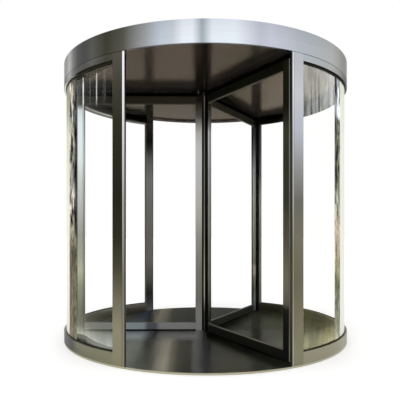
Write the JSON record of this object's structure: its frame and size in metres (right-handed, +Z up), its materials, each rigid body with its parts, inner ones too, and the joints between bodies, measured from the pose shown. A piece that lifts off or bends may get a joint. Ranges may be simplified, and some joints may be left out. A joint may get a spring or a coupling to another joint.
{
  "type": "revolving door",
  "caption": "Free-standing revolving door: glazed wings on a central shaft inside a round steel drum with curved glass side walls, open front and back.",
  "frame": {"origin": "centre of the underside of the round floor, on the axis of the shaft", "axes": "+Z up along the shaft; the front opening faces -Y and the back opening +Y, so people walk along Y"},
  "size_m": [2.52, 2.5198, 2.375],
  "materials": {
    "wall_steel": "brushed stainless steel",
    "wing_steel": "dark brushed stainless steel",
    "bead": "satin",
    "edge_trim": "bright brushed",
    "shaft": "satin",
    "floor": "dark brushed, half glossy",
    "ceiling": "dark brushed, half glossy",
    "roof": "matt",
    "wall_glass": "clear, gloss",
    "wing_glass": "clear, gloss",
    "brush": "black brush pile"
  },
  "bodies": {
    "drum": {"floor_plate": "floor", "floor_edge_trim": "edge_trim", "floor_pivot": "shaft", "front_left_post": "wall_steel", "front_right_post": "wall_steel", "back_left_post": "wall_steel", "back_right_post": "wall_steel", "left_base_rail": "wall_steel", "right_base_rail": "wall_steel", "left_head_rail": "wall_steel", "right_head_rail": "wall_steel", "left_front_glass": "wall_glass", "left_back_glass": "wall_glass", "right_front_glass": "wall_glass", "right_back_glass": "wall_glass", "front_fascia": "wall_steel", "back_fascia": "wall_steel", "left_fascia": "wall_steel", "right_fascia": "wall_steel", "ceiling_plate": "ceiling", "roof_plate": "roof", "upper_bearing": "shaft"},
    "rotor": {"center_shaft": "shaft", "wing_1_inner_stile": "wing_steel", "wing_1_outer_stile": "wing_steel", "wing_1_top_rail": "wing_steel", "wing_1_bottom_rail": "wing_steel", "wing_1_glass": "wing_glass", "wing_1_glazing_beads": "bead", "wing_1_edge_brushes": "brush", "wing_2_inner_stile": "wing_steel", "wing_2_outer_stile": "wing_steel", "wing_2_top_rail": "wing_steel", "wing_2_bottom_rail": "wing_steel", "wing_2_glass": "wing_glass", "wing_2_glazing_beads": "bead", "wing_2_edge_brushes": "brush", "wing_3_inner_stile": "wing_steel", "wing_3_outer_stile": "wing_steel", "wing_3_top_rail": "wing_steel", "wing_3_bottom_rail": "wing_steel", "wing_3_glass": "wing_glass", "wing_3_glazing_beads": "bead", "wing_3_edge_brushes": "brush"}
  },
  "joints": [
    {"name": "rotor_spin", "type": "hinge", "parent": "drum", "child": "rotor", "pos_m": [0, 0, 0], "axis": [0, 0, 1], "continuous": true}
  ]
}
